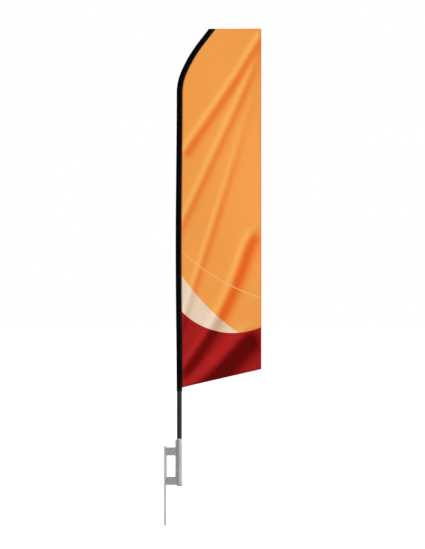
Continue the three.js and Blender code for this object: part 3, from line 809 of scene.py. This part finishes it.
def hardware():
    """The turned pieces that show: tube, bush, plug, cup, and the foot of the mast with its tube."""
    low, high = span("socket_tube")
    turned("socket_tube_skin", "socket_tube",
           tube_profile(TUBE_R - TUBE_WALL, TUBE_R, low, high, 0.0006),
           tube_zinc, STAKE, "tube_steel", sides=96)
    inside_tube = TUBE_R - TUBE_WALL - GAP
    bore = MAST_R + RUNNING_GAP
    chamfer = 0.002
    bush_low, bush_high = span("mouth_bush")
    turned("mouth_bush_skin", "mouth_bush", rounded([
        (bore, bush_low), (inside_tube, bush_low), (inside_tube, high + GAP),
        (TUBE_R, high + GAP), (TUBE_R, bush_high - chamfer), (TUBE_R - chamfer, bush_high),
        (bore, bush_high)], 0.0006), grey_nylon, STAKE, "grey_nylon", sides=96)
    plug_high = span("socket_end_plug")[1]
    plug_radius = TUBE_R - 0.001
    plug_face = TUBE_R - 0.007
    turned("socket_plug_skin", "socket_end_plug", rounded([
        (0, 0), (plug_face, 0), (plug_radius, low - chamfer - GAP), (plug_radius, low - GAP),
        (inside_tube, low - GAP), (inside_tube, plug_high), (0, plug_high)], 0.0008),
        plug_nylon, STAKE, "grey_nylon", sides=96)
    cup_low, cup_high = span("swivel_cup")
    cup_floor = cup_low + 0.005
    turned("swivel_cup_skin", "swivel_cup", rounded([
        (0, cup_low), (inside_tube, cup_low), (inside_tube, cup_high), (bore, cup_high),
        (bore, cup_floor), (0, cup_floor)], 0.0005), grey_nylon, SWIVEL, "grey_nylon")
    foot_low, foot_high = span("mast_foot_plug")
    tube_low, tube_high = span("lower_mast_tube")
    inside_mast = MAST_R - MAST_WALL - GAP
    turned("mast_foot_skin", "mast_foot_plug", rounded([
        (0, foot_low), (MAST_R - chamfer, foot_low), (MAST_R, foot_low + chamfer),
        (MAST_R, tube_low - GAP), (inside_mast, tube_low - GAP), (inside_mast, foot_high),
        (0, foot_high)], 0.0005), black_nylon, LOWER, "dark_nylon")
    turned("lower_mast_skin", "lower_mast_tube",
           tube_profile(MAST_R - MAST_WALL, MAST_R, tube_low, tube_high, 0.0004),
           mast_black, LOWER, "black_alloy", bend=True, sides=96)


# ---- Welds -----------------------------------------------------------------------------------

STEP_BEAD, CORNER_BEAD, SPINE_BEAD = 0.0022, 0.0018, 0.0017  # radii
BEAD_PITCH = 0.0024
BEAD_SIDES = 14
END_CLEAR = 0.006  # from a step's edge to the end of its bead
SPIKE_EDGE, TUBE_EDGE = 0.0055, 0.001  # how far behind a step's front its beads lie
SPINE_FRONT = -0.006  # where the bead across the spine's top begins
UNDER_STEP = 0.235 - 0.008  # the third bead on the spine stops short of the upper step
BEAD_LEVELS = ((0.085, 0.115), (0.15, 0.18), (0.215, UNDER_STEP), (0.31, 0.34))


def weld_bead(name, start, end, radius):
    """A bead along a straight joint, with the ripples of its overlapping pools."""
    start, end = np.array(start, float), np.array(end, float)
    length = np.linalg.norm(end - start)
    along = (end - start) / length
    other = np.cross(along, (0.3, 1, 0.2))
    other /= np.linalg.norm(other)
    third = np.cross(along, other)
    rows = int(length / BEAD_PITCH * 6) + 2
    around = np.linspace(0, 2 * math.pi, BEAD_SIDES, endpoint=False)
    rng = np.random.default_rng(len(name) + int(1e4 * abs(start.sum())))
    points = []
    for t in np.linspace(0, 1, rows):
        pool = abs(math.sin(math.pi * t * length / BEAD_PITCH))
        ends = min(1.0, 0.35 + 9 * min(t, 1 - t))
        r = radius * ends * (0.86 + 0.14 * pool) * rng.uniform(0.97, 1.03)
        centre = start + along * length * t
        points += [centre + r * (math.cos(a) * other + math.sin(a) * third) for a in around]
    points += [start, end]
    first_end, last_end = rows * BEAD_SIDES, rows * BEAD_SIDES + 1
    faces = grid_faces(rows, BEAD_SIDES, wrap=True)
    last = (rows - 1) * BEAD_SIDES
    for i in range(BEAD_SIDES):
        faces.append((first_end, (i + 1) % BEAD_SIDES, i))
    for i in range(BEAD_SIDES):
        faces.append((last_end, last + i, last + (i + 1) % BEAD_SIDES))
    return piece(name, points, faces, weld, STAKE)


def upright_bead(name, x, y, low, high, radius):
    """A bead straight up, from one level to another."""
    weld_bead(name, (x, y, low), (x, y, high), radius)


def welds():
    """Beads where each step meets the spike, tube and spine, and where the spine meets the tube."""
    (spine_x, spine_front, _), (_, spine_back, _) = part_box("tube_spine_bar")
    for step in ("lower_step", "upper_step"):
        (left, front, low), (right, _, high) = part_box(step)
        ends = low + END_CLEAR, high - END_CLEAR
        upright_bead(f"{step}_spike_weld", left, front + SPIKE_EDGE, *ends, STEP_BEAD)
        upright_bead(f"{step}_tube_weld", right, front + TUBE_EDGE, *ends, STEP_BEAD)
        weld_bead(f"{step}_spine_weld_top", (spine_x, SPINE_FRONT, high), (spine_x, spine_back, high),
                  CORNER_BEAD)
        upright_bead(f"{step}_back_weld", spine_x, spine_back, *ends, CORNER_BEAD)
    for face, y in (("front", spine_front), ("back", spine_back)):
        x = -math.sqrt((TUBE_R + 0.0006) ** 2 - y * y)
        for i, (low, high) in enumerate(BEAD_LEVELS):
            upright_bead(f"spine_{face}_weld_{i + 1}", x, y, low, high, SPINE_BEAD)


# ---- CAD pieces that stay --------------------------------------------------------------------

def dress(node, material, bevel=0.0):
    """Gives a CAD node its material, and eased edges if it has a bevel."""
    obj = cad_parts[node]
    obj.data.materials.clear()
    obj.data.materials.append(material)
    if bevel:
        add_modifier(obj, "BEVEL", width=bevel, segments=2, limit_method="ANGLE",
                     angle_limit=math.radians(35), harden_normals=True)


def dress_cad():
    """Materials and bevels of the CAD pieces that are shown as they are."""
    for node, material, bevel in (
        ("spike_bar", bar_zinc, 0.0012),
        ("spike_backing_strip", backing_zinc, 0.0008),
        ("tube_spine_bar", spine_zinc, 0.0006),
        ("lower_step", sheet_zinc, 0.0005),
        ("upper_step", sheet_zinc, 0.0005),
        ("thrust_washer", bar_zinc, 0),
        ("middle_mast_tube", mast_black, 0),
        ("upper_mast_tube", mast_black, 0),
        ("lower_stop_collar", black_nylon, 0),
        ("upper_stop_collar", black_nylon, 0),
        ("tip_ferrule", black_nylon, 0),
        ("flex_tip_rod", rod_black, 0),
        ("tip_cap", black_nylon, 0),
    ):
        dress(node, material, bevel)


# ---- Camera, light and floor -----------------------------------------------------------------

CAMERA_X, CAMERA_Z = 0.2546, 1.629
CAMERA_AWAY = 15.85


def camera():
    """Level and square on, as in the photograph."""
    data = bpy.data.cameras.new("camera")
    data.lens = 135
    data.sensor_width = 36
    data.clip_end = 200
    made = bpy.data.objects.new("camera", data)
    made.location = (CAMERA_X, -CAMERA_AWAY, CAMERA_Z)
    made.rotation_euler = (math.pi / 2, 0, 0)
    bpy.context.scene.collection.objects.link(made)
    bpy.context.scene.camera = made


def light(name, where, towards, size, power, mirrored=True):
    """An area light. One that isn't mirrored lights matt surfaces but leaves no streak on metal."""
    data = bpy.data.lights.new(name, "AREA")
    data.shape = "RECTANGLE"
    data.size, data.size_y = size
    data.energy = power
    made = bpy.data.objects.new(name, data)
    made.location = where
    made.visible_glossy = mirrored
    aim = np.array(towards, float) - np.array(where, float)
    flat = math.hypot(aim[0], aim[1])
    made.rotation_euler = (math.atan2(flat, -aim[2]), 0, math.atan2(aim[1], aim[0]) - math.pi / 2)
    bpy.context.scene.collection.objects.link(made)


def surroundings():
    """White to the camera, and to the object a soft room that is darker on the left."""
    world = bpy.data.worlds.new("studio")
    world.use_nodes = True
    bpy.context.scene.world = world
    tree = world.node_tree
    tree.nodes.clear()
    where = tree.nodes.new("ShaderNodeTexCoord")
    parts = tree.nodes.new("ShaderNodeSeparateXYZ")
    ramp = tree.nodes.new("ShaderNodeMapRange")
    for i, value in enumerate((-0.85, 0.6, 0.07, 0.85), start=1):
        ramp.inputs[i].default_value = value
    room = tree.nodes.new("ShaderNodeBackground")
    white = tree.nodes.new("ShaderNodeBackground")
    path = tree.nodes.new("ShaderNodeLightPath")
    mix = tree.nodes.new("ShaderNodeMixShader")
    out = tree.nodes.new("ShaderNodeOutputWorld")
    link = tree.links.new
    link(where.outputs["Generated"], parts.inputs[0])
    link(parts.outputs[0], ramp.inputs[0])
    link(ramp.outputs[0], room.inputs["Strength"])
    link(path.outputs["Is Camera Ray"], mix.inputs[0])
    link(room.outputs[0], mix.inputs[1])
    link(white.outputs[0], mix.inputs[2])
    link(mix.outputs[0], out.inputs[0])
    room.inputs["Color"].default_value = (1, 1, 1, 1)
    white.inputs["Color"].default_value = (1, 1, 1, 1)


def floor():
    """A pale floor, level with the spike's end, that shows nearly white but lights the object less."""
    nodes = Nodes("floor", Roughness=0.9, Emission_Strength=0.0)
    tone = nodes.noise(3, 2)
    seen = nodes.add("ShaderNodeLightPath").outputs["Is Camera Ray"]
    pale = nodes.mix(tone, (0.5, 0.5, 0.5), (0.53, 0.53, 0.53))
    material = nodes.finish(Base_Color=nodes.mix(seen, pale, (0.9, 0.9, 0.9)),
                            Emission_Color=(1.0, 1.0, 1.0),
                            Emission_Strength=nodes.math("MULTIPLY", seen, 0.66))
    half = 60.0
    z = FLOOR_Z - 0.0005
    corners = [(-half, -half, z), (half, -half, z), (half, half, z), (-half, half, z)]
    mesh = bpy.data.meshes.new("floor")
    mesh.from_pydata(corners, [], [(0, 1, 2, 3)])
    mesh.materials.append(material)
    made = bpy.data.objects.new("floor", mesh)
    bpy.context.scene.collection.objects.link(made)


camera()
surroundings()
LIT_HEIGHT = 1.8
SOFT_BOX, SIDE_STRIP = (5.5, 5.5), (0.7, 4.4)
light("key", (3.0, -7.2, 2.9), (0.2, 0, LIT_HEIGHT), SOFT_BOX, 385, mirrored=False)
light("back", (4.0, 7.0, 3.2), (0.2, 0, LIT_HEIGHT), SOFT_BOX, 290, mirrored=False)
light("side", (3.2, 0.7, LIT_HEIGHT), (0, 0, LIT_HEIGHT), SIDE_STRIP, 18)
floor()

hardware()
welds()
dress_cad()

cloth = flag_cloth()
cloth_extras = hems() + flag_stitches()
sleeve = pole_sleeve()
sleeve_extras = sleeve_seams()
cinch_strap()

scene = bpy.context.scene
scene.view_settings.view_transform = "Standard"
scene.view_settings.look = "None"
